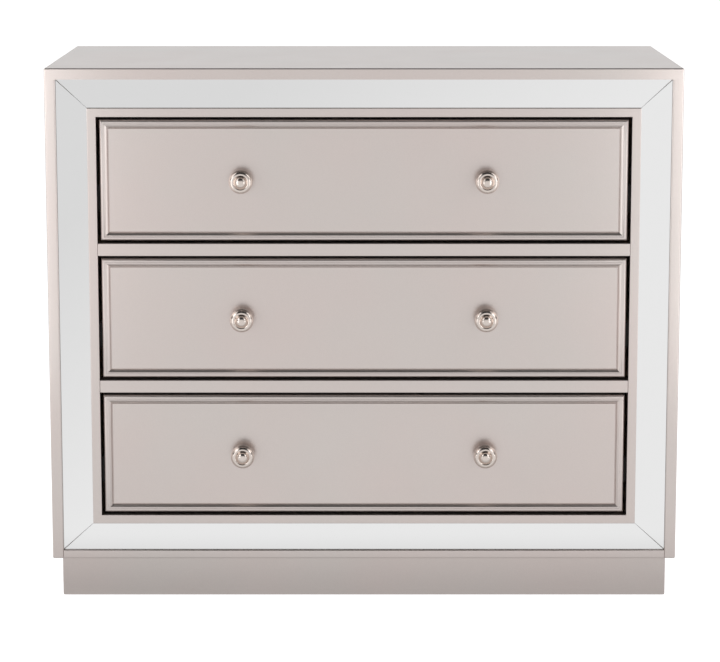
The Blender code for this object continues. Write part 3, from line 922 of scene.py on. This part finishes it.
def knob_profile(radius, projection):
    """A turned knob as (radius, distance from the field), from its foot to its boss."""
    s = sizes()
    crown = projection - s.knob_boss_height
    rim = crown - s.knob_band
    foot_height = 0.0018
    foot_round = 0.0005
    shoulder = 0.0008
    points = [(0.0, 0.0), (s.knob_foot, 0.0)]
    foot_centre = (s.knob_foot - foot_round, foot_height * 0.6)
    points += ellipse(foot_centre, (foot_round, foot_height * 0.3), 0, 90, 4)
    cove = (s.knob_foot - shoulder - s.knob_neck, foot_height * 1.2)
    points += ellipse((s.knob_neck + cove[0], foot_height * 0.95 + cove[1]), cove, -90, -180, 6)
    flare = (radius - s.knob_rim / 2 - s.knob_neck, rim - s.knob_rim - s.knob_head_back)
    points += ellipse((s.knob_neck + flare[0], s.knob_head_back), flare, 180, 100, 8)
    points += ellipse((radius - s.knob_rim / 2, rim), (s.knob_rim / 2, s.knob_rim), -75, -8, 6)
    points += ellipse((s.knob_crest, rim), (radius - s.knob_crest, s.knob_band), 0, 88, 16)
    slope_steps = 10
    for i in range(1, slope_steps + 1):
        t = i / slope_steps
        fall = s.knob_dip * t * t * (3 - 2 * t)
        points.append((s.knob_crest + (s.knob_boss - s.knob_crest) * t, crown - fall))
    points += ellipse((0.0, crown), (s.knob_boss, s.knob_boss_height), 6, 84, 12)
    return points + [(0.0, projection)]


def build_knobs():
    """Turned and plated knobs."""
    for drawer in DRAWERS:
        for word, _ in SIDES:
            node = f"knob_{drawer}_{word}"
            spans = spans_of(node)
            radius = (spans[0][1] - spans[0][0]) / 2
            profile = knob_profile(radius, spans[1][1] - spans[1][0])
            mesh = turned_mesh(node, profile, spans, segments=96)
            stand_for(node, mesh, ["nickel_plate"], f"{drawer}_drawer")


def build_knob_screws():
    """Pan-head screws that hold the knobs from inside the drawers."""
    s = sizes()
    for drawer in DRAWERS:
        board_back = spans_of(f"drawer_front_{drawer}")[1][1]
        for word, _ in SIDES:
            node = f"knob_screw_{drawer}_{word}"
            spans = spans_of(node)
            head = (spans[0][1] - spans[0][0]) / 2
            tip, end = spans[1]
            rise = end - board_back
            floor = rise * 0.6
            dome = rise * 0.8
            profile = [(0.0, floor), (s.screw_recess, floor)]
            profile += ellipse((0.0, dome), (head, dome), -68, 0, 8)
            profile += [(head, rise), (s.screw_shaft, rise), (s.screw_shaft, end - tip)]
            profile.append((0.0, end - tip))
            mesh = turned_mesh(node, profile, spans, segments=40)
            stand_for(node, mesh, ["zinc_plate"], f"{drawer}_drawer")


def pin_places(spans):
    """Where the back's pins stand, as (x, z) round its edge."""
    inset = sizes().pin_inset
    bays_across, bays_up = 6, 5
    left, right = shrunk(spans[0], inset)
    low, high = shrunk(spans[2], inset)
    across = [left + (right - left) * i / bays_across for i in range(bays_across + 1)]
    up = [low + (high - low) * i / bays_up for i in range(1, bays_up)]
    return [(x, z) for z in (low, high) for x in across] + [(x, z) for z in up for x in (left, right)]


def build_back():
    """The hardboard back, with the heads of the pins that hold it."""
    s = sizes()
    node = "back_panel"
    spans = spans_of(node)
    spans[1][1] -= s.pin_rise
    face = spans[1][1]
    mesh = board_mesh(node, spans, s.sheet_round)
    stand_for(node, mesh, ["hardboard"], CASE)
    head = ellipse((0.0, 0.0), (s.pin_head, -s.pin_rise), 90, 0, 6)
    pins = bmesh.new()
    for x, z in pin_places(spans):
        add_turned(pins, [*head, (s.pin_head, s.pin_rise)], Vector((x, face, z)), segments=20)
    add_piece("back_pins", mesh_from("back_pins", pins), ["zinc_plate"], CASE)


def finish_solid(node, name):
    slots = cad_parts[node].data.materials
    slots.clear()
    slots.append(finish(name))


def build_plain_parts():
    """Finishes for the parts whose own solids show."""
    for word, _ in SIDES:
        finish_solid(f"runner_panel_{word}", "poplar_along_z")
        for drawer in DRAWERS:
            finish_solid(f"cabinet_runner_{drawer}_{word}", "zinc_plate")
            finish_solid(f"drawer_runner_{drawer}_{word}", "zinc_plate")


def contact_mask(tree):
    """A mask that is 1 at the chest's foot and 0 away from it."""
    half = [max(abs(low), abs(high)) for low, high in zip(*CAD_BOX)]
    mirrored = vector_calc(tree, "ABSOLUTE", coordinates(tree))
    beyond = vector_calc(tree, "SUBTRACT", mirrored, (half[0], half[1], 0.0))
    outside = vector_calc(tree, "MAXIMUM", beyond, (0.0, 0.0, 0.0))
    away = vector_calc(tree, "LENGTH", outside, result="Value")
    return ramp(tree, away, studio().contact_reach, 0.0)


def ray_masks(tree):
    """A mask of what the camera sees, also through glass, and one of what metal and glass reflect."""
    rays = add_node(tree, "LightPath").outputs
    seen = calc(tree, "ADD", rays["Is Camera Ray"], rays["Is Transmission Ray"])
    return seen, rays["Is Glossy Ray"]


def white_light(tree, kind, strength):
    """The output of a white Emission or Background."""
    return add_node(tree, kind, {"Color": WHITE, "Strength": strength}).outputs[kind]


def mix_shaders(tree, factor, first, second):
    return add_node(tree, "MixShader", {0: factor, 1: first, 2: second}).outputs["Shader"]


def build_floor():
    """A pale floor that shows white, also in metal and glass, and keeps the chest's shadow."""
    reach = 40.0
    mesh = bpy.data.meshes.new("studio_floor")
    corners = [(x, y, 0.0) for x, y in box_outline((-reach, reach), (-reach, reach))]
    mesh.from_pydata(corners, [], [(0, 1, 2, 3)])
    floor = bpy.data.objects.new("studio_floor", mesh)
    bpy.context.scene.collection.objects.link(floor)
    base = opaque(colours().floor)
    made = surface("pale_floor", Base_Color=base, Roughness=0.9, Specular_IOR_Level=0.0)
    tree = made.node_tree
    seen, reflected = ray_masks(tree)
    glow = white_light(tree, "Emission", calc(tree, "MULTIPLY", seen, studio().floor_glow))
    lit = add_node(tree, "AddShader", {0: shader_of(made).outputs["BSDF"], 1: glow}).outputs["Shader"]
    kept = calc(tree, "MULTIPLY_ADD", contact_mask(tree), -studio().contact_shade, 1.0)
    white = white_light(tree, "Emission", calc(tree, "MULTIPLY", kept, studio().backdrop_gloss))
    shown = mix_shaders(tree, reflected, lit, white)
    tree.links.new(shown, tree.nodes["Material Output"].inputs["Surface"])
    mesh.materials.append(made)


def room_level(tree, direction):
    """The room's light: wide low panels in front and behind, softer ones above and beside."""
    # Where each part of the room fades into the next, along a direction of length 1.
    to_sides = (0.35, 0.85)
    to_upper = (0.2, 0.5)
    to_ceiling = (0.7, 0.9)
    to_low_back = (-0.3, 0.3)
    to_high_back = (-0.1, 0.4)
    across = calc(tree, "ABSOLUTE", direction["X"])
    along = direction["Y"]
    rise = direction["Z"]
    wide = ramp(tree, across, *to_sides)
    narrow = ramp(tree, across, *reversed(to_sides))
    low = ramp(tree, rise, *reversed(to_upper))
    upper = ramp(tree, rise, *to_upper)
    high = calc(tree, "MULTIPLY", upper, ramp(tree, rise, *reversed(to_ceiling)))
    front = ramp(tree, along, *reversed(to_high_back))
    panels = (
        (low, ramp(tree, along, *reversed(to_low_back)), narrow, studio().front_low),
        (low, ramp(tree, along, *to_low_back), studio().back_low),
        (high, ramp(tree, along, *to_high_back), studio().back_high),
        (high, front, wide, studio().side_high),
        (upper, front, studio().front_high),
    )
    return combine(tree, "ADD", *(combine(tree, "MULTIPLY", *panel) for panel in panels))


def build_room():
    """A soft room. Camera, glass and metal see a white backdrop behind the floor."""
    world = bpy.data.worlds.new("studio_room")
    bpy.context.scene.world = world
    world.use_nodes = True
    tree = world.node_tree
    tree.nodes.clear()
    toward = coordinates(tree, "Generated")
    direction = add_node(tree, "SeparateXYZ", {"Vector": toward}).outputs
    backdrop_top, backdrop_full = 0.14, 0.04
    seen, glossy = ray_masks(tree)
    backdrop = ramp(tree, direction["Z"], backdrop_top, backdrop_full, studio().backdrop_gloss)
    white_share = calc(tree, "MULTIPLY_ADD", glossy, backdrop, seen)
    room = white_light(tree, "Background", room_level(tree, direction))
    white = white_light(tree, "Background", 1.0)
    add_node(tree, "OutputWorld", {"Surface": mix_shaders(tree, white_share, room, white)})


def build_softboxes():
    """Pairs of softboxes, mirrored left and right and turned to the middle of the chest."""
    aim = Vector((0.0, -0.2, 0.45))
    # Power, width and height, and place of the right-hand one.
    pairs = {
        "overhead": (studio().overhead_power, (1.0, 1.0), (1.2, 0.1, 1.6)),
        "near": (studio().near_power, (0.4, 0.6), (0.62, -0.62, 0.48)),
        "corner": (studio().corner_power, (0.5, 0.3), (0.66, -0.54, 0.74)),
    }
    for name, (power, size, place) in pairs.items():
        for word, side in SIDES:
            label = f"softbox_{name}_{word}"
            lamp = bpy.data.lights.new(label, "AREA")
            lamp.shape = "RECTANGLE"
            lamp.size, lamp.size_y = size
            lamp.energy = power
            softbox = bpy.data.objects.new(label, lamp)
            softbox.location = (side * place[0], place[1], place[2])
            softbox.rotation_euler = (aim - softbox.location).to_track_quat("-Z", "Y").to_euler()
            softbox.visible_camera = False
            bpy.context.scene.collection.objects.link(softbox)


def build_camera():
    s = studio()
    front_y = spans_of("top_panel")[1][0]
    data = bpy.data.cameras.new("studio_camera")
    data.sensor_width = SENSOR_WIDTH
    data.lens = s.focal_pixels * SENSOR_WIDTH / IMAGE_WIDTH
    data.shift_x = -s.shift_right / IMAGE_WIDTH
    data.shift_y = -s.shift_up / IMAGE_WIDTH
    camera = bpy.data.objects.new("studio_camera", data)
    camera.location = (0.0, front_y - s.camera_distance, s.camera_height)
    camera.rotation_euler = (math.pi / 2 - s.camera_pitch, 0.0, 0.0)
    bpy.context.scene.collection.objects.link(camera)
    bpy.context.scene.camera = camera
    bpy.context.scene.view_settings.view_transform = "Standard"


class CHEST_OT_case_boards(bpy.types.Operator):
    """Build the top, the sides and the bottom of the case"""

    bl_idname = "chest.case_boards"
    bl_label = "Case boards"

    def execute(self, context):
        build_case_boards()
        return {"FINISHED"}


class CHEST_OT_plinth(bpy.types.Operator):
    """Build the plinth"""

    bl_idname = "chest.plinth"
    bl_label = "Plinth"

    def execute(self, context):
        build_plinth()
        return {"FINISHED"}


class CHEST_OT_front_frame(bpy.types.Operator):
    """Build the stiles, rails and lip round the drawers"""

    bl_idname = "chest.front_frame"
    bl_label = "Front frame"

    def execute(self, context):
        build_front_frame()
        return {"FINISHED"}


class CHEST_OT_mirrors(bpy.types.Operator):
    """Build the four mirror strips"""

    bl_idname = "chest.mirrors"
    bl_label = "Mirror strips"

    def execute(self, context):
        build_mirrors()
        return {"FINISHED"}


class CHEST_OT_drawer_fronts(bpy.types.Operator):
    """Build the moulded drawer fronts"""

    bl_idname = "chest.drawer_fronts"
    bl_label = "Drawer fronts"

    def execute(self, context):
        build_drawer_fronts()
        return {"FINISHED"}


class CHEST_OT_drawer_boxes(bpy.types.Operator):
    """Build the drawers' sides, backs and bottoms"""

    bl_idname = "chest.drawer_boxes"
    bl_label = "Drawer boxes"

    def execute(self, context):
        build_drawer_boxes()
        return {"FINISHED"}


class CHEST_OT_knobs(bpy.types.Operator):
    """Build the knobs"""

    bl_idname = "chest.knobs"
    bl_label = "Knobs"

    def execute(self, context):
        build_knobs()
        return {"FINISHED"}


class CHEST_OT_knob_screws(bpy.types.Operator):
    """Build the knobs' screws"""

    bl_idname = "chest.knob_screws"
    bl_label = "Knob screws"

    def execute(self, context):
        build_knob_screws()
        return {"FINISHED"}


class CHEST_OT_back(bpy.types.Operator):
    """Build the back and its pins"""

    bl_idname = "chest.back"
    bl_label = "Back"

    def execute(self, context):
        build_back()
        return {"FINISHED"}


class CHEST_OT_plain_parts(bpy.types.Operator):
    """Finish the runners and the runner panels"""

    bl_idname = "chest.plain_parts"
    bl_label = "Plain parts"

    def execute(self, context):
        build_plain_parts()
        return {"FINISHED"}


class CHEST_OT_stage(bpy.types.Operator):
    """Set up the floor, the room, the softboxes and the camera"""

    bl_idname = "chest.stage"
    bl_label = "Stage"

    def execute(self, context):
        build_floor()
        build_room()
        build_softboxes()
        build_camera()
        return {"FINISHED"}


OPERATORS = (
    CHEST_OT_case_boards,
    CHEST_OT_plinth,
    CHEST_OT_front_frame,
    CHEST_OT_mirrors,
    CHEST_OT_drawer_fronts,
    CHEST_OT_drawer_boxes,
    CHEST_OT_knobs,
    CHEST_OT_knob_screws,
    CHEST_OT_back,
    CHEST_OT_plain_parts,
    CHEST_OT_stage,
)


class CHEST_PT_pieces(bpy.types.Panel):
    """Lists the chest's pieces and its stage"""

    bl_idname = "CHEST_PT_pieces"
    bl_label = "Mirrored chest"
    bl_space_type = "VIEW_3D"
    bl_region_type = "UI"
    bl_category = "Chest"

    def draw(self, context):
        for operator in OPERATORS:
            self.layout.operator(operator.bl_idname)


GROUPS = {
    "chest_sizes": ChestSizes,
    "chest_colours": ChestColours,
    "chest_studio": StudioSettings,
}


CLASSES = (*GROUPS.values(), *OPERATORS, CHEST_PT_pieces)


def register():
    for cls in CLASSES:
        bpy.utils.register_class(cls)
    for name, group in GROUPS.items():
        setattr(bpy.types.Scene, name, bpy.props.PointerProperty(type=group))


def unregister():
    for name in GROUPS:
        delattr(bpy.types.Scene, name)
    for cls in reversed(CLASSES):
        bpy.utils.unregister_class(cls)


def main():
    register()
    bpy.ops.chest.case_boards()
    bpy.ops.chest.plinth()
    bpy.ops.chest.front_frame()
    bpy.ops.chest.mirrors()
    bpy.ops.chest.drawer_fronts()
    bpy.ops.chest.drawer_boxes()
    bpy.ops.chest.knobs()
    bpy.ops.chest.knob_screws()
    bpy.ops.chest.back()
    bpy.ops.chest.plain_parts()
    bpy.ops.chest.stage()


if __name__ == "__main__":
    main()
